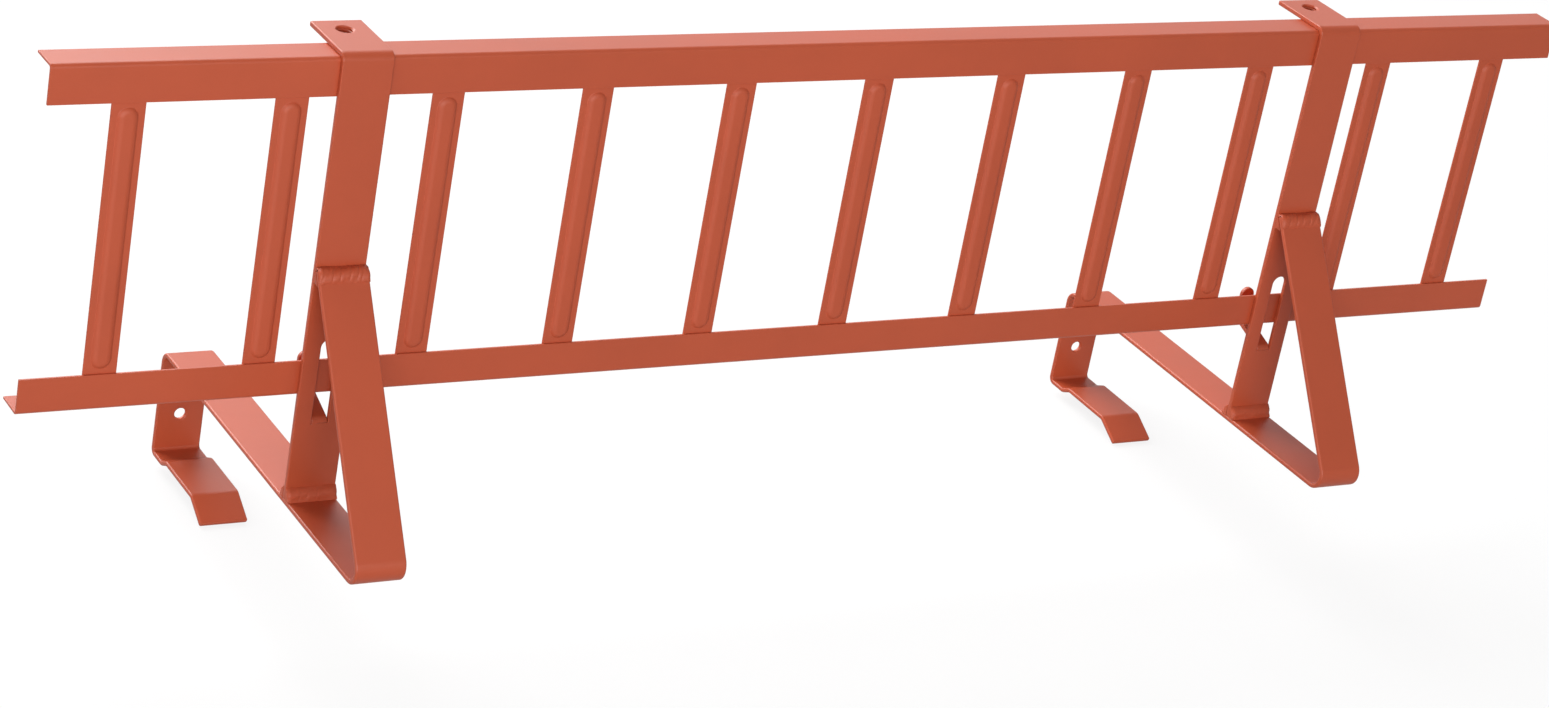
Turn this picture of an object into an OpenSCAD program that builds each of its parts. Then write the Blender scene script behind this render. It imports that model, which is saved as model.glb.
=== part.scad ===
// Roof snow guard: a slatted grille on two strap brackets that hook over a roof batten.
// Frame: +X along the guard, +Y up the roof slope, +Z square to the roof.
// Origin: midway between the two batten screw holes, on the inner faces of the hooks.

/* [Rails] */
// Length of the guard
guard_l = 1000; // [700:10:2000]
// Height of the grille over both rails
guard_h = 200; // [160:5:260]
// Sheet thickness of the rails
rail_t = 1.5; // [1:0.1:2.5]
// Inside radius of the rails' folds
rail_bend_r = 1; // [0.8:0.1:2]
// Height of the top rail's front leg
top_leg_h = 22.5; // [15:0.5:35]
// Height of the bottom rail's front leg
bottom_leg_h = 21; // [15:0.5:35]
// Depth of the rails' rear legs
rail_d = 20.5; // [14:0.5:30]

/* [Slats] */
// Distance from slat to slat
slat_spacing = 91; // [65:1:150]
// Least distance from the guard's ends to the outer slats
slat_end_room = 20; // [5:1:40]
// Width of a slat
slat_w = 19; // [15:0.5:30]
// Sheet thickness of a slat
slat_t = 1.2; // [0.8:0.1:1.6]
// Space between a slat's ends and the rails' rear legs
slat_end_gap = 2; // [1:0.5:5]
// Width of the bead pressed into a slat
bead_w = 11.5; // [10:0.5:13]
// Width of the bead's round flanks
bead_flank_w = 3.5; // [2.4:0.1:4]
// Height of the bead over the slat's face
bead_h = 1.8; // [1.5:0.1:2.4]
// Distance from the rails' front legs to the ends of the bead
bead_gap = 3; // [2:0.5:20]

/* [Brackets] */
// Bay between slats that each bracket stands in, counted from the guard's ends
bracket_bay = 2; // [1:1:3]
// Distance of each bracket outward from the middle of its bay
bracket_shift = 6.5; // [0:0.5:10]
// Width of the flat bar
strap_w = 30; // [24:1:40]
// Thickness of the flat bar
strap_t = 3; // [2:0.5:5]
// Height of the bottom rail over the base
grille_lift = 63.5; // [40:0.5:120]
// Distance from the upright back to the hook
base_back = 186; // [120:1:300]
// Distance from the upright forward to the front bend's foremost line
base_front = 102.5; // [70:0.5:150]
// Slope of the brace over the base
brace_angle = 53.8; // [45:0.2:65]
// Inside radius of the front bend
front_bend_r = 7; // [4:0.5:12]
// Inside radius of the rear bend
rear_bend_r = 5; // [3:0.5:8]

/* [Batten hook] */
// Clear height of the hook
hook_h = 60; // [40:1:80]
// Depth of the hook, from its inner face to the fold of the lip
hook_d = 63; // [45:1:90]
// Inside radius of the hook's lower bend
hook_bend_r = 2; // [1:0.5:3]
// Distance from the hook's inner face to the foot of the tongue's step
step_start = 13.5; // [10:0.5:20]
// Height of the step in the tongue
step_h = 3.5; // [2:0.5:5]
// Slope of the step
step_angle = 25; // [20:1:35]
// Length of the lip
lip_l = 21; // [10:0.5:30]
// Slope of the lip below the tongue
lip_angle = 28.5; // [15:0.5:45]
// Inside radius of the step's and the lip's bends
tongue_bend_r = 3; // [2:0.5:4]
// Diameter of the batten screw hole
screw_hole_d = 7; // [4:0.5:10]
// Height of the batten screw hole over the tongue
screw_hole_z = 20; // [15:1:25]

/* [Upright] */
// How far the flange reaches past the top rail's rear leg
flange_past = 24; // [24:0.5:40]
// Diameter of the flange hole
flange_hole_d = 10; // [6:0.5:12]
// Distance of the flange hole from the flange's rear edge
flange_hole_inset = 13; // [10:0.5:14]
// Depth of the collar drawn down round the flange hole
collar_h = 3; // [1:0.5:5]
// Wall of the collar
collar_t = 1.5; // [1:0.1:2]
// How much tighter the upright's top fold is than the rail's corner
fold_clear = 0.5; // [0.3:0.1:1]
// Width of the slot
slot_w = 10; // [6:0.5:14]
// Gap sheared on each side of the tab
lance_gap = 0.25; // [0.1:0.05:0.5]
// Height of the slot's top over the bottom rail's underside
slot_top = 34.5; // [28:0.5:60]
// Height of the slot's foot below the bottom rail's underside
slot_drop = 17.5; // [15:0.5:30]
// Slope of the tab under the bottom rail
tab_angle = 18.2; // [8:0.2:22]
// Inside radius of the tab's bends
tab_bend_r = 1.5; // [1:0.5:3]
// Space between the bottom rail's rear leg and the tab
tab_gap = 3.5; // [2:0.5:8]
// Height of the tab's tip over the bottom rail's underside
tab_tip = 14; // [8:0.5:20]

/* [Welds] */
// Gap between the brace's end and the upright that the weld fills
brace_root = 0.5; // [0.2:0.1:1]
// Distance of the bead's middle from the brace's end
brace_weld_back = 3.5; // [2:0.5:4]
// Thickness of the bead over the corner of the brace's end
brace_weld_cover = 0.9; // [0.6:0.1:2]
// Leg of the foot welds on the base
foot_weld_run = 4.5; // [3:0.1:8]
// Leg of the foot welds on the upright
foot_weld_rise = 7.5; // [5:0.5:10]
// Height of the steep lower part of the foot welds' faces
foot_weld_wall = 2; // [1:0.5:4]

/* [Hidden] */
$fn = 96;
coat = [0.73, 0.35, 0.24];
// Overlap of cutting shapes past the faces they cut
past = 1;

// Levels above the batten screw holes
tongue_z = -screw_hole_z;
base_z = tongue_z + hook_h;
base_top_z = base_z + strap_t;
grille_z = base_top_z + grille_lift;
grille_top_z = grille_z + guard_h;

// Places along the slope
upright_back_y = -base_back;
upright_front_y = upright_back_y - strap_t;
slat_face_y = upright_back_y + rail_t;

// The slats stand evenly about the middle of the guard
slat_n = floor((guard_l - 2 * slat_end_room - slat_w) / slat_spacing) + 1;
slat_last_x = (slat_n - 1) * slat_spacing / 2;
slat_z = grille_z + rail_t + slat_end_gap;
slat_h = guard_h - 2 * (rail_t + slat_end_gap);

// The bead has a flat crown between two round flanks
bead_crown = bead_w / 2 - bead_flank_w;
bead_r = (bead_flank_w * bead_flank_w + bead_h * bead_h) / (2 * bead_h);
bead_foot_z = grille_z + bottom_leg_h + bead_gap + bead_w / 2;
bead_top_z = grille_top_z - top_leg_h - bead_gap - bead_w / 2;

// Each bracket stands in its bay
bracket_x = slat_last_x - (bracket_bay - 0.5) * slat_spacing + bracket_shift;

// The front bend and the brace that leaves it
front_bend_y = upright_back_y - base_front + front_bend_r + strap_t;
front_bend_z = base_top_z + front_bend_r;
brace_foot = [front_bend_y - front_bend_r * sin(brace_angle), front_bend_z + front_bend_r * cos(brace_angle)];
brace_l = (upright_front_y - brace_root - brace_foot[0]) / cos(brace_angle);
brace_weld_mid = brace_foot + (brace_l - brace_weld_back) * [cos(brace_angle), sin(brace_angle)];
brace_weld_r = norm([brace_weld_back, strap_t]) + brace_weld_cover;

// The hook behind the base
hook_drop = hook_h + step_h - rear_bend_r - hook_bend_r;
tongue_bend_out_r = tongue_bend_r + strap_t;
tongue_foot_l = step_start - hook_bend_r - tongue_bend_r * tan(step_angle / 2);
step_bends_h = (tongue_bend_r + tongue_bend_out_r) * (1 - cos(step_angle));
step_l = (step_h - step_bends_h) / sin(step_angle);
tongue_end_l = tongue_bend_out_r * tan(lip_angle / 2);
tongue_l = hook_d - step_start - step_h / tan(step_angle)
    - tongue_bend_out_r * tan(step_angle / 2) - tongue_end_l;

// The upright's fold seats on the top rail's corner
fold_r = rail_bend_r + rail_t - fold_clear;
upright_l = grille_top_z - fold_r - base_top_z;
flange_d = rail_d + flange_past;
flange_hole_y = upright_back_y + flange_d - flange_hole_inset;

// The tab leaves the slot's foot, runs under the bottom rail and stands up behind it
slot_z = grille_z - slot_drop;
tab_w = slot_w - 2 * lance_gap;
tab_turn = 90 - tab_angle;
tab_bends = 2 * tab_bend_r + strap_t;
tab_run = (rail_d + tab_gap + strap_t - tab_bends * (1 - sin(tab_angle))) / cos(tab_angle);
tab_stand = slot_drop + tab_tip - tab_bends * cos(tab_angle) - tab_run * sin(tab_angle);

// The foot welds' faces turn over from their steep part to the toe on the upright
foot_weld_round = foot_weld_rise - foot_weld_wall;
foot_weld_r = (foot_weld_run * foot_weld_run + foot_weld_round * foot_weld_round) / (2 * foot_weld_run);

sides = [-1, 1];
bracket_pieces = ["base_strap", "upright", "brace_weld", "foot_weld_front", "foot_weld_rear"];

function slat_name(i) = str("slat_", i < 9 ? "0" : "", i + 1);
function bracket_name(side, piece) = str(side < 0 ? "left_" : "right_", piece);

// Part of a ring that leads a bar through a turn, to the left where the turn is positive
module bend(turn, r, t) {
    reach = 2 * (r + t);
    intersection() {
        difference() {
            circle(r + t);
            circle(r);
        }
        translate([0, -reach])
            square([reach, 2 * reach]);
        rotate(turn)
            translate([-reach, -reach])
                square([reach, 2 * reach]);
    }
}

// A bar folded in steps: each is a straight, the turn after it and the inside radius of that turn
module folded_bar(steps, t, i = 0) {
    run = steps[i][0];
    turn = steps[i][1];
    r = steps[i][2];
    square([run, t]);
    if (turn != 0)
        translate([run, turn > 0 ? t + r : -r]) {
            bend(turn, r, t);
            rotate(turn)
                translate([0, turn > 0 ? -t - r : r])
                    folded_bar(steps, t, i + 1);
        }
}

// A shape drawn over the slope and the height, drawn out along the guard
module along_guard(w) {
    rotate([90, 0, 90])
        linear_extrude(w, center = true)
            children();
}

// A shape drawn over the length and the height, drawn out from one place on the slope forward
module forward(y, d) {
    translate([0, y, 0])
        rotate([90, 0, 0])
            linear_extrude(d)
                children();
}

module at_bracket(side) {
    translate([side * bracket_x, 0, 0])
        children();
}

// Upright strip with a round top
module round_top(w, foot, top) {
    translate([-w / 2, foot])
        square([w, top - w / 2 - foot]);
    translate([0, top - w / 2])
        circle(w / 2);
}

// Top rail
module top_rail() {
    corner = rail_bend_r + rail_t;
    color(coat)
        along_guard(guard_l)
            translate([slat_face_y, grille_top_z - top_leg_h])
                rotate(90)
                    folded_bar([[top_leg_h - corner, -90, rail_bend_r], [rail_d - corner, 0, 0]], rail_t);
}

// Bottom rail
module bottom_rail() {
    corner = rail_bend_r + rail_t;
    color(coat)
        along_guard(guard_l)
            translate([upright_back_y, grille_z + bottom_leg_h])
                rotate(-90)
                    folded_bar([[bottom_leg_h - corner, 90, rail_bend_r], [rail_d - corner, 0, 0]], rail_t);
}

// Half of a bead's section, down to a depth behind the slat's face
module half_bead(r, depth) {
    flank_z = bead_h - bead_r;
    translate([0, -depth])
        square([bead_crown, depth + flank_z + r]);
    intersection() {
        translate([bead_crown, -depth])
            square([r, depth + flank_z + r]);
        union() {
            translate([bead_crown, flank_z])
                circle(r);
            translate([bead_crown, flank_z - bead_r])
                square([r, bead_r]);
        }
    }
}

// Bead with round ends
module bead(r, depth) {
    translate([0, 0, bead_foot_z])
        rotate(180)
            linear_extrude(bead_top_z - bead_foot_z) {
                half_bead(r, depth);
                mirror([1, 0, 0])
                    half_bead(r, depth);
            }
    for (end = [[bead_top_z, 0], [bead_foot_z, 180]])
        translate([0, 0, end[0]])
            rotate([90, end[1], 0])
                rotate_extrude(angle = 180)
                    half_bead(r, depth);
}

// Slat with its pressed bead
module slat(i) {
    color(coat)
        translate([i * slat_spacing - slat_last_x, slat_face_y, 0])
            difference() {
                union() {
                    translate([-slat_w / 2, 0, slat_z])
                        cube([slat_w, slat_t, slat_h]);
                    bead(bead_r, 0);
                }
                bead(bead_r - slat_t, slat_t + past);
            }
}

// Side view of the base strap with its brace and its hook
module base_strap_shape() {
    translate([upright_back_y, base_z]) {
        folded_bar([
            [base_back - rear_bend_r, -90, rear_bend_r],
            [hook_drop, -90, hook_bend_r],
            [tongue_foot_l, -step_angle, tongue_bend_r],
            [step_l, step_angle, tongue_bend_r],
            [tongue_l, lip_angle, tongue_bend_r],
            [lip_l - tongue_end_l, 0, 0]
        ], strap_t);
        mirror([1, 0, 0])
            folded_bar([
                [upright_back_y - front_bend_y, 180 - brace_angle, front_bend_r],
                [brace_l, 0, 0]
            ], strap_t);
    }
}

// Base strap
module base_strap(side) {
    color(coat)
        at_bracket(side)
            difference() {
                along_guard(strap_w)
                    base_strap_shape();
                forward(strap_t + past, strap_t + 2 * past)
                    circle(d = screw_hole_d);
            }
}

// Upright with its flange and collar over the top rail, its slot and its tab
module upright(side) {
    color(coat)
        at_bracket(side) {
            difference() {
                union() {
                    along_guard(strap_w)
                        translate([upright_back_y, base_top_z])
                            rotate(90)
                                folded_bar([[upright_l, -90, fold_r], [flange_d - fold_r, 0, 0]], strap_t);
                    translate([0, flange_hole_y, grille_top_z - collar_h])
                        cylinder(d = flange_hole_d + 2 * collar_t, h = collar_h + strap_t / 2);
                }
                translate([0, flange_hole_y, grille_top_z - collar_h - past])
                    cylinder(d = flange_hole_d, h = collar_h + strap_t + 2 * past);
                forward(upright_back_y + past, strap_t + 2 * past)
                    round_top(slot_w, slot_z, grille_z + slot_top);
            }
            intersection() {
                along_guard(slot_w)
                    translate([upright_back_y, slot_z - past])
                        rotate(90)
                            folded_bar([
                                [past, -tab_turn, tab_bend_r],
                                [tab_run, tab_turn, tab_bend_r],
                                [tab_stand + past, 0, 0]
                            ], strap_t);
                forward(0, base_back + 2 * strap_t)
                    round_top(tab_w, slot_z - past, grille_z + tab_tip);
            }
        }
}

// Weld round the end of the brace
module brace_weld(side) {
    color(coat)
        at_bracket(side)
            along_guard(strap_w)
                difference() {
                    translate(brace_weld_mid)
                        circle(brace_weld_r);
                    translate([upright_front_y, base_top_z])
                        square([strap_t + brace_weld_r, upright_l]);
                    base_strap_shape();
                }
}

// Section of a foot weld
module foot_weld_shape() {
    square([foot_weld_run, foot_weld_wall]);
    intersection() {
        translate([foot_weld_run - foot_weld_r, foot_weld_wall])
            circle(foot_weld_r);
        translate([0, foot_weld_wall])
            square(foot_weld_run + foot_weld_rise);
    }
}

// Foot weld before the upright
module foot_weld_front(side) {
    color(coat)
        at_bracket(side)
            along_guard(strap_w)
                translate([upright_front_y, base_top_z])
                    mirror([1, 0, 0])
                        foot_weld_shape();
}

// Foot weld behind the upright
module foot_weld_rear(side) {
    color(coat)
        at_bracket(side)
            along_guard(strap_w)
                translate([upright_back_y, base_top_z])
                    foot_weld_shape();
}

top_rail();
bottom_rail();
for (i = [0:slat_n - 1])
    slat(i);
for (side = sides) {
    base_strap(side);
    upright(side);
    brace_weld(side);
    foot_weld_front(side);
    foot_weld_rear(side);
}
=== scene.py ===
import math
import bpy
from mathutils import Euler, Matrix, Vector


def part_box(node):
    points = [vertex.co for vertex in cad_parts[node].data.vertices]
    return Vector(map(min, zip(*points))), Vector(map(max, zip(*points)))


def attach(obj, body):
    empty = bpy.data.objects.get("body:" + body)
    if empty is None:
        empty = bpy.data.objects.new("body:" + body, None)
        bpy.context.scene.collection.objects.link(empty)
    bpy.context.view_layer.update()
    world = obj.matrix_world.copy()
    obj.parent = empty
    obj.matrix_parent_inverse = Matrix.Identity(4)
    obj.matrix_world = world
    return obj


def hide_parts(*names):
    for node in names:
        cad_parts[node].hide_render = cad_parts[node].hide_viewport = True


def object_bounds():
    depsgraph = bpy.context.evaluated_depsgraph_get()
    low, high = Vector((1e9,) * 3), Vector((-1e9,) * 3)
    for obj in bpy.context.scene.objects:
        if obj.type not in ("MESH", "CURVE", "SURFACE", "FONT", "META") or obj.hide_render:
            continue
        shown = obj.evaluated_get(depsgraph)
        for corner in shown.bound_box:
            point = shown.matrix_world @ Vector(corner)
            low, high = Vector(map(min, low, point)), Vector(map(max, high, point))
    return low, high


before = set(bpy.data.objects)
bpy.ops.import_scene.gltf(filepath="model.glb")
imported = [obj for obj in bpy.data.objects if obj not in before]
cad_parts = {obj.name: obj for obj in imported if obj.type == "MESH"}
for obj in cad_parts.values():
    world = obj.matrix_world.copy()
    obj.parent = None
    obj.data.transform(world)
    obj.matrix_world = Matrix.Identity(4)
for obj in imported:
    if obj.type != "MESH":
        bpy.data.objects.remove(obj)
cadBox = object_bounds()
scene = bpy.context.scene
print("frame loaded:", len(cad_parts), "nodes")


# one socket of a node tree: sums on it add Math nodes
class Wire:
    def __init__(self, tree, socket):
        self.tree = tree
        self.socket = socket

    def sum(self, operation, first, second):
        outputs = self.tree.add("ShaderNodeMath", {"operation": operation}, {0: first, 1: second})
        return outputs["Value"]

    def __add__(self, other):
        return self.sum("ADD", self, other)

    def __radd__(self, other):
        return self.sum("ADD", other, self)

    def __sub__(self, other):
        return self.sum("SUBTRACT", self, other)

    def __rsub__(self, other):
        return self.sum("SUBTRACT", other, self)

    def __mul__(self, other):
        return self.sum("MULTIPLY", self, other)

    def __rmul__(self, other):
        return self.sum("MULTIPLY", other, self)


# one node tree: every node comes from add()
class Tree:
    def __init__(self, nodeTree):
        self.nodeTree = nodeTree
        nodeTree.nodes.clear()

    def add(self, kind, settings=None, sockets=None):
        node = self.nodeTree.nodes.new(kind)
        for name, value in (settings or {}).items():
            if name == "stops":
                ramp = node.color_ramp.elements
                while len(ramp) < len(value):
                    ramp.new(value[len(ramp) - 1][0])
                for element, (place, colour) in zip(ramp, value):
                    element.position = place
                    element.color = colour
            else:
                setattr(node, name, value)
        for name, value in (sockets or {}).items():
            if isinstance(value, Wire):
                self.nodeTree.links.new(value.socket, node.inputs[name])
            else:
                node.inputs[name].default_value = value
        return {out.name: Wire(self, out) for out in node.outputs}


def rgba(colour, scale=1.0):
    return (*(min(1.0, channel * scale) for channel in colour), 1.0)


# powder coat: mottled tone, orange peel and a fine grain
sheetCoat = {
    "name": "sheetCoat",
    "tone": (0.485, 0.079, 0.0285),
    "darkTone": 0.94,
    "lightTone": 1.05,
    "toneStops": (0.32, 0.50, 0.68),
    "mottleScale": 14.0,
    "mottleDetail": 4.0,
    "mottleRoughness": 0.6,
    "mottleInTone": 0.75,       # the grain has the rest
    "roughness": 0.42,
    "roughnessSpread": 0.16,
    "grainInRoughness": 0.6,    # the mottle has the rest
    "ior": 1.5,
    "peelScale": 620.0,
    "peelDetail": 2.0,
    "peelHeight": 0.00006,
    "peelStrength": 0.16,
    "grainScale": 2600.0,
    "grainDetail": 1.0,
    "waveScale": 0.0,
    "waveDetail": 1.0,
    "waveHeight": 0.0,
    "waveStrength": 0.3,
    "noiseMiddle": 0.5,
}
# pressed strip under the same coat: duller
slatCoat = dict(sheetCoat, name="slatCoat", roughness=0.55)
# rolled flat bar under the same coat: a longer wave from the mill
barCoat = dict(sheetCoat, name="barCoat", mottleScale=9.0, waveScale=70.0, waveHeight=0.00025)
# weld metal under the same coat: duller, with a short wave
weldCoat = dict(
    sheetCoat, name="weldCoat", roughness=0.56, darkTone=0.90, waveScale=300.0, waveHeight=0.0002,
)


def addNoise(tree, place, scale, detail, roughness=0.5):
    return tree.add("ShaderNodeTexNoise", None, {
        "Vector": place, "Scale": scale, "Detail": detail, "Roughness": roughness,
    })["Fac"]


def powderCoat(look):
    material = bpy.data.materials.new(look["name"])
    material.use_nodes = True
    tree = Tree(material.node_tree)
    place = tree.add("ShaderNodeTexCoord")["Object"]
    mottle = addNoise(
        tree, place, look["mottleScale"], look["mottleDetail"], look["mottleRoughness"],
    )
    peel = addNoise(tree, place, look["peelScale"], look["peelDetail"])
    grain = addNoise(tree, place, look["grainScale"], look["grainDetail"])
    blend = mottle * look["mottleInTone"] + grain * (1 - look["mottleInTone"])
    tones = [rgba(look["tone"], share) for share in (look["darkTone"], 1.0, look["lightTone"])]
    stops = list(zip(look["toneStops"], tones))
    colour = tree.add("ShaderNodeValToRGB", {"stops": stops}, {"Fac": blend})["Color"]
    patches = grain * look["grainInRoughness"] + mottle * (1 - look["grainInRoughness"])
    roughness = (patches - look["noiseMiddle"]) * look["roughnessSpread"] + look["roughness"]
    bump = tree.add("ShaderNodeBump", None, {
        "Height": peel, "Distance": look["peelHeight"], "Strength": look["peelStrength"],
    })["Normal"]
    if look["waveHeight"]:
        wave = addNoise(tree, place, look["waveScale"], look["waveDetail"])
        bump = tree.add("ShaderNodeBump", None, {
            "Height": wave, "Distance": look["waveHeight"],
            "Strength": look["waveStrength"], "Normal": bump,
        })["Normal"]
    shader = tree.add("ShaderNodeBsdfPrincipled", None, {
        "Base Color": colour, "Roughness": roughness, "Normal": bump, "IOR": look["ior"],
    })["BSDF"]
    tree.add("ShaderNodeOutputMaterial", None, {"Surface": shader})
    return material


coats = {look["name"]: powderCoat(look) for look in (sheetCoat, slatCoat, barCoat, weldCoat)}
print("coats made:", ", ".join(coats))

# broken edges: sheet keeps crisp ones, flat bar has rounder rolled ones
softEdges = {
    "rail": {"width": 0.00025, "segments": 3, "coat": "sheetCoat"},
    "slat": {"width": 0.00030, "segments": 3, "coat": "slatCoat"},
    "strap": {"width": 0.00110, "segments": 5, "coat": "barCoat"},
    "upright": {"width": 0.00070, "segments": 5, "coat": "barCoat"},
}
edgeRules = {
    "mergeGap": 0.00001,
    "leastAngle": 32.0,
    "faceWeight": 100,
}


def softenEdges(node, edge):
    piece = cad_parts[node]
    merge = piece.modifiers.new("mergeFaces", "WELD")
    merge.merge_threshold = edgeRules["mergeGap"]
    bevel = piece.modifiers.new("brokenEdges", "BEVEL")
    bevel.width = edge["width"]
    bevel.segments = edge["segments"]
    bevel.limit_method = "ANGLE"
    bevel.angle_limit = math.radians(edgeRules["leastAngle"])
    bevel.use_clamp_overlap = False    # else the shortest edge thins all the others
    bevel.loop_slide = False    # else corners at the tongue's bends stick out
    bevel.miter_outer = "MITER_ARC"
    normals = piece.modifiers.new("flatFaces", "WEIGHTED_NORMAL")
    normals.weight = edgeRules["faceWeight"]
    normals.keep_sharp = False
    for materialSlot in piece.material_slots:
        materialSlot.material = coats[edge["coat"]]


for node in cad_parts:
    for key, edge in softEdges.items():
        if key in node:
            softenEdges(node, edge)
print("edges softened")


def addPiece(name, points, faces, coat, creaseAngle):
    mesh = bpy.data.meshes.new(name)
    mesh.from_pydata(points, [], faces)
    mesh.update()
    for polygon in mesh.polygons:
        polygon.use_smooth = True
    mesh.materials.append(coats[coat])
    piece = bpy.data.objects.new(name, mesh)
    scene.collection.objects.link(piece)
    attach(piece, "root")
    creases = piece.modifiers.new("creases", "EDGE_SPLIT")
    creases.split_angle = math.radians(creaseAngle)
    return piece


def ringFaces(rings, count):
    # sides between rings of as many points each, and a cap at both ends
    faces = []
    for k in range(rings - 1):
        for i in range(count):
            j = (i + 1) % count
            faces.append((k * count + i, k * count + j, (k + 1) * count + j, (k + 1) * count + i))
    faces.append(tuple(reversed(range(count))))
    faces.append(tuple(range((rings - 1) * count, rings * count)))
    return faces


# weld beads: the solid's section carried along in laid ripples, with rounded ends
weldBead = {
    "slices": 150,
    "facePoints": 20,
    "longestFree": 0.0025,      # a longer side of the section is a seated one
    "ripplePitch": 0.0047,
    "rippleDepth": {"brace": 0.00032, "foot": 0.00013},
    "rippleSlant": 0.0060,
    "placePhase": (977.0, 1291.0),      # each bead starts its waves elsewhere
    "wander": 0.9,
    "wanderWaves": (520.0, 1130.0),
    "wanderPhase": 2.3,
    "unevenness": 0.00020,
    "unevenWave": 310.0,
    "unevenSlant": 5.0,
    "unevenPhase": 1.7,
    "toeFade": 0.18,
    "endLength": 0.0024,
    "endDepth": 0.0011,
    "deepestShare": 0.6,
    "toeAngle": 50.0,
    "flatGap": 0.000001,
}


def endLoop(mesh, x):
    # the outline of the solid's flat end at x, over y and z
    onEnd = [abs(vertex.co.x - x) < weldBead["flatGap"] for vertex in mesh.vertices]
    uses = {}
    for polygon in mesh.polygons:
        if all(onEnd[v] for v in polygon.vertices):
            for edge in polygon.edge_keys:
                uses[edge] = uses.get(edge, 0) + 1
    beside = {}
    for (a, b), count in uses.items():
        if count == 1:
            beside.setdefault(a, []).append(b)
            beside.setdefault(b, []).append(a)
    loop = [min(beside)]
    while len(loop) < len(beside):
        loop.append(next(v for v in beside[loop[-1]] if v not in loop))
    return [Vector((mesh.vertices[v].co.y, mesh.vertices[v].co.z)) for v in loop]


def spreadEvenly(line, parts):
    # points at even steps along a line of points, both its ends included
    lengths = [(b - a).length for a, b in zip(line, line[1:])]
    spread, i, before = [line[0].copy()], 0, 0.0
    for k in range(1, parts):
        goal = sum(lengths) * k / parts
        while before + lengths[i] < goal:
            before += lengths[i]
            i += 1
        spread.append(line[i].lerp(line[i + 1], (goal - before) / lengths[i]))
    return spread + [line[-1].copy()]


def weldSection(loop):
    # the section's points, each with its share of the way over a free face, or none if seated
    count = len(loop)
    sides = [(loop[i] - loop[(i + 1) % count]).length for i in range(count)]
    free = [side < weldBead["longestFree"] for side in sides]
    first = next(i for i in range(count) if free[i] and not free[i - 1])
    points, i = [], 0
    while i < count:
        run = 0
        while i + run < count and free[(first + i + run) % count]:
            run += 1
        if run:
            line = [loop[(first + i + k) % count] for k in range(run + 1)]
            for k, point in enumerate(spreadEvenly(line, weldBead["facePoints"])[:-1]):
                points.append((point, k / weldBead["facePoints"] or None))
        else:
            points.append((loop[(first + i) % count], None))
        i += run or 1
    return points


def weldDip(along, way, phase, rippleDepth):
    # how deep ripples and unevenness lie below the solid's free face
    first, second = weldBead["wanderWaves"]
    secondPhase = weldBead["wanderPhase"] * phase
    wander = math.sin(along * first + phase) + math.sin(along * second + secondPhase)
    slanted = along + weldBead["rippleSlant"] * way
    turn = 2 * math.pi * slanted / weldBead["ripplePitch"] + phase + weldBead["wander"] * wander
    swellPhase = weldBead["unevenSlant"] * way + weldBead["unevenPhase"] * phase
    swell = math.sin(along * weldBead["unevenWave"] + swellPhase)
    return rippleDepth * math.sin(turn / 2) ** 4 + weldBead["unevenness"] * (1 + swell)


def layWeld(node):
    low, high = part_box(node)
    section = weldSection(endLoop(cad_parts[node].data, high.x))
    seated = [point for point, way in section if way is None]
    root = sum(seated, Vector((0.0, 0.0))) / len(seated)
    phase = low.x * weldBead["placePhase"][0] + root.y * weldBead["placePhase"][1]
    rippleDepth = weldBead["rippleDepth"]["brace" if "brace" in node else "foot"]
    points, slices = [], weldBead["slices"]
    for k in range(slices + 1):
        along = low.x + (high.x - low.x) * k / slices
        fromEnd = min(along - low.x, high.x - along)
        endDip = max(0.0, 1 - fromEnd / weldBead["endLength"]) ** 2 * weldBead["endDepth"]
        for point, way in section:
            depth = 0.0
            if way:
                fade = min(1.0, way / weldBead["toeFade"], (1 - way) / weldBead["toeFade"])
                depth = (weldDip(along, way, phase, rippleDepth) + endDip) * fade
            toRoot = root - point
            inward = toRoot.normalized() * min(depth, toRoot.length * weldBead["deepestShare"])
            points.append((along, point.x + inward.x, point.y + inward.y))
    faces = ringFaces(slices + 1, len(section))
    bead = addPiece(node + "_bead", points, faces, "weldCoat", weldBead["toeAngle"])
    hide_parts(node)


weldNodes = [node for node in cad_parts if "weld" in node]
for node in weldNodes:
    layWeld(node)
print("welds laid:", len(weldNodes))

# thread in the flange holes: one ridge wound up the bore, which runs out over the rounded rim
holeThread = {
    "fromRear": 0.0130,
    "boreRadius": 0.0050,
    "crestRadius": 0.00415,
    "sunk": 0.00003,
    "pitch": 0.0015,
    "footWidth": 0.00125,
    "crestWidth": 0.00025,
    "below": 0.0046,
    "under": 0.0008,
    "endDegrees": 50.0,
    "stepsPerTurn": 48,
    "fadeSteps": 10,
    "creaseAngle": 40.0,
}


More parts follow.
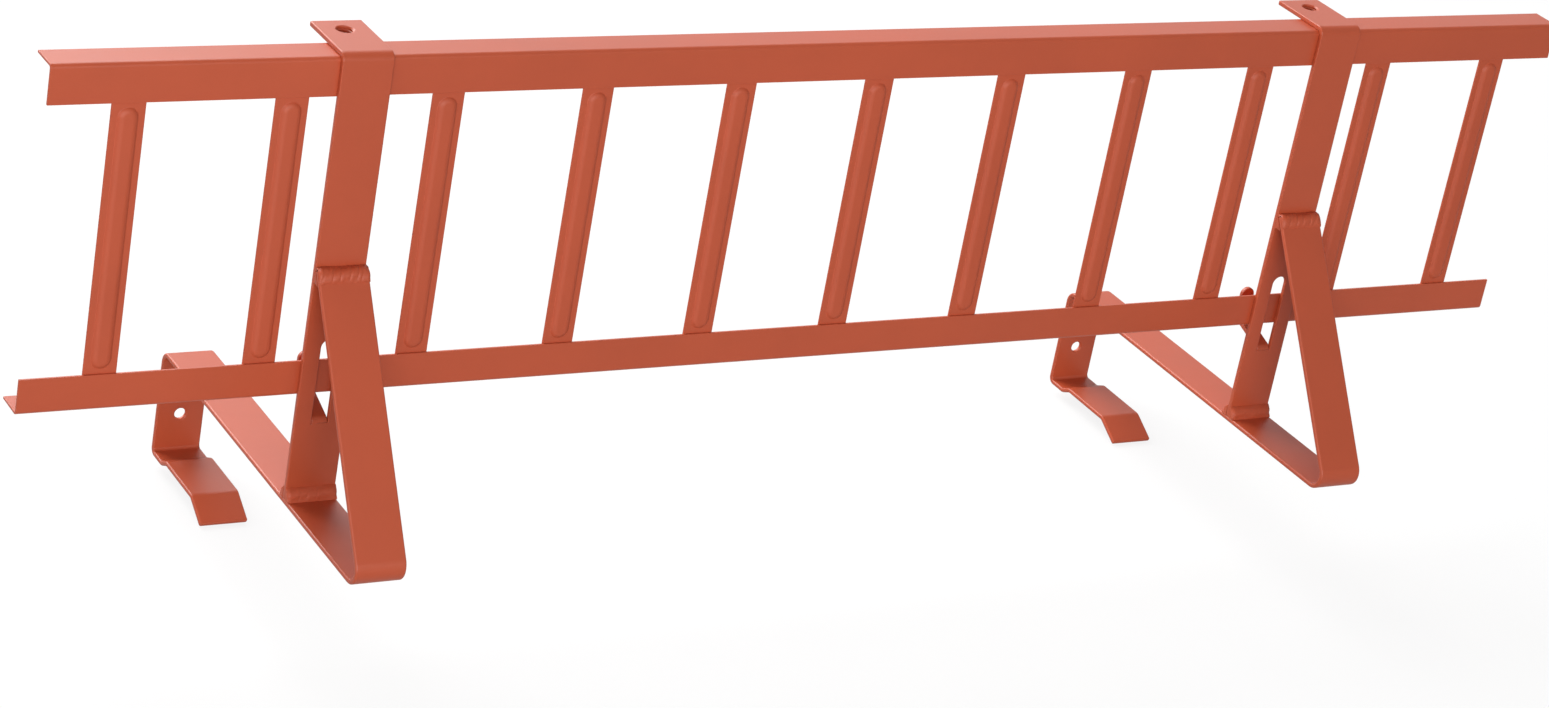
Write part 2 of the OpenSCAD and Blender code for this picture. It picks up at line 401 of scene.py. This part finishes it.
def cutThread(node):
    low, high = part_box(node)
    middle = Vector((
        (low.x + high.x) / 2, high.y - holeThread["fromRear"], high.z - holeThread["below"],
    ))
    rise = holeThread["below"] - holeThread["under"]
    steps = round(rise / holeThread["pitch"] * holeThread["stepsPerTurn"])
    rim = softEdges["upright"]["width"]
    foot, crest = holeThread["boreRadius"] + holeThread["sunk"], holeThread["crestRadius"]
    footHalf, crestHalf = holeThread["footWidth"] / 2, holeThread["crestWidth"] / 2
    points = []
    for k in range(steps + 1):
        toEnd = steps - k
        turns = toEnd / holeThread["stepsPerTurn"]
        angle = math.radians(holeThread["endDegrees"]) - 2 * math.pi * turns
        fade = min(1.0, k / holeThread["fadeSteps"], toEnd / holeThread["fadeSteps"])
        level = middle.z + rise * k / steps
        ridge = ((0.0, -footHalf), (fade, -crestHalf), (fade, crestHalf), (0.0, footHalf))
        for reach, lift in ridge:
            toRim = max(0.0, rim - (high.z - level - lift))
            rounded = (rim - math.sqrt(rim * rim - toRim * toRim)) * (1 - reach)
            radius = foot + (crest - foot) * reach + rounded
            x, y = radius * math.cos(angle), radius * math.sin(angle)
            points.append((middle.x + x, middle.y + y, level + lift))
    faces = ringFaces(steps + 1, len(ridge))
    addPiece(node + "_thread", points, faces, "barCoat", holeThread["creaseAngle"])


uprightNodes = [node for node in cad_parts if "upright" in node]
for node in uprightNodes:
    cutThread(node)
print("threads cut:", len(uprightNodes))

# floor and studio
stageLook = {
    "floorSize": 60.0,
    "floorGap": 0.0006,
    "floorTone": (0.93, 0.93, 0.93),
    "bounceTone": (0.32, 0.32, 0.32),
    "glossShare": 0.45,
    "floorGlow": 0.85,
    "glowStrength": 1.0,
    "worldTone": (1.0, 1.0, 1.0),
    "worldStrength": 0.20,
}


def seenShare(tree):
    # one for what the camera sees, less for what gloss mirrors, none for what only lights
    rays = tree.add("ShaderNodeLightPath")
    gloss = rays["Is Glossy Ray"] * stageLook["glossShare"]
    seen = rays["Is Camera Ray"] + gloss + rays["Is Transmission Ray"]
    return tree.add("ShaderNodeClamp", None, {"Value": seen})["Result"]


def matteShader(tree, tone):
    return tree.add("ShaderNodeBsdfDiffuse", None, {"Color": rgba(tone)})["BSDF"]


def mixShaders(tree, share, first, second):
    return tree.add("ShaderNodeMixShader", None, {"Fac": share, 1: first, 2: second})["Shader"]


def makeFloor():
    half = stageLook["floorSize"] / 2
    level = cadBox[0].z - stageLook["floorGap"]
    corners = [
        (-half, -half, level), (half, -half, level), (half, half, level), (-half, half, level),
    ]
    mesh = bpy.data.meshes.new("floor")
    mesh.from_pydata(corners, [], [(0, 1, 2, 3)])
    floor = bpy.data.objects.new("floor", mesh)
    scene.collection.objects.link(floor)
    material = bpy.data.materials.new("paleFloor")
    material.use_nodes = True
    tree = Tree(material.node_tree)
    matte = matteShader(tree, stageLook["floorTone"])
    glow = tree.add("ShaderNodeEmission", None, {"Strength": stageLook["glowStrength"]})["Emission"]
    pale = mixShaders(tree, stageLook["floorGlow"], matte, glow)
    bounce = matteShader(tree, stageLook["bounceTone"])
    ground = mixShaders(tree, seenShare(tree), bounce, pale)
    tree.add("ShaderNodeOutputMaterial", None, {"Surface": ground})
    mesh.materials.append(material)


def makeWorld():
    world = bpy.data.worlds.new("studio")
    scene.world = world
    world.use_nodes = True
    tree = Tree(world.node_tree)
    extra = stageLook["glowStrength"] - stageLook["worldStrength"]
    background = tree.add("ShaderNodeBackground", None, {
        "Color": rgba(stageLook["worldTone"]),
        "Strength": seenShare(tree) * extra + stageLook["worldStrength"],
    })["Background"]
    tree.add("ShaderNodeOutputWorld", None, {"Surface": background})


makeFloor()
makeWorld()
print("floor and world set")

# soft boxes: where each stands, its width and height, and its power
softBoxes = {
    "topBack": {"place": (-0.45, 1.7, 2.3), "size": (2.3, 1.8), "power": 85.0},
    "backLeft": {"place": (-1.25, 3.05, 1.55), "size": (2.8, 1.8), "power": 72.0},
    "backRight": {"place": (1.8, 3.0, 1.6), "size": (3.0, 1.8), "power": 11.0},
    "front": {"place": (-1.2, -3.3, 0.95), "size": (3.2, 1.8), "power": 91.0},
    "left": {"place": (-3.1, -1.3, 0.75), "size": (2.0, 1.4), "power": 14.0},
}
lampAim = Vector((0, -0.15, 0.15))
for name, lamp in softBoxes.items():
    light = bpy.data.lights.new(name, "AREA")
    light.shape = "RECTANGLE"
    light.size, light.size_y = lamp["size"]
    light.energy = lamp["power"]
    softBox = bpy.data.objects.new(name, light)
    softBox.location = lamp["place"]
    softBox.rotation_euler = (lampAim - Vector(lamp["place"])).to_track_quat("-Z", "Y").to_euler()
    scene.collection.objects.link(softBox)
print("soft boxes set:", len(softBoxes))

# camera at the photograph's viewing angle
cameraView = {
    "place": (-1.16910, -1.92204, 1.03746),
    "turnDegrees": (65.52656, -9.82154, -28.66994),
    "lens": 89.7996,
    "sensor": 36.0,
}
camera = bpy.data.cameras.new("camera")
camera.lens = cameraView["lens"]
camera.sensor_fit = "HORIZONTAL"
camera.sensor_width = cameraView["sensor"]
cameraObject = bpy.data.objects.new("camera", camera)
cameraObject.location = cameraView["place"]
turn = [math.radians(angle) for angle in cameraView["turnDegrees"]]
cameraObject.rotation_euler = Euler(turn, "XYZ")
scene.collection.objects.link(cameraObject)
scene.camera = cameraObject
scene.view_settings.view_transform = "Standard"
print("camera set")
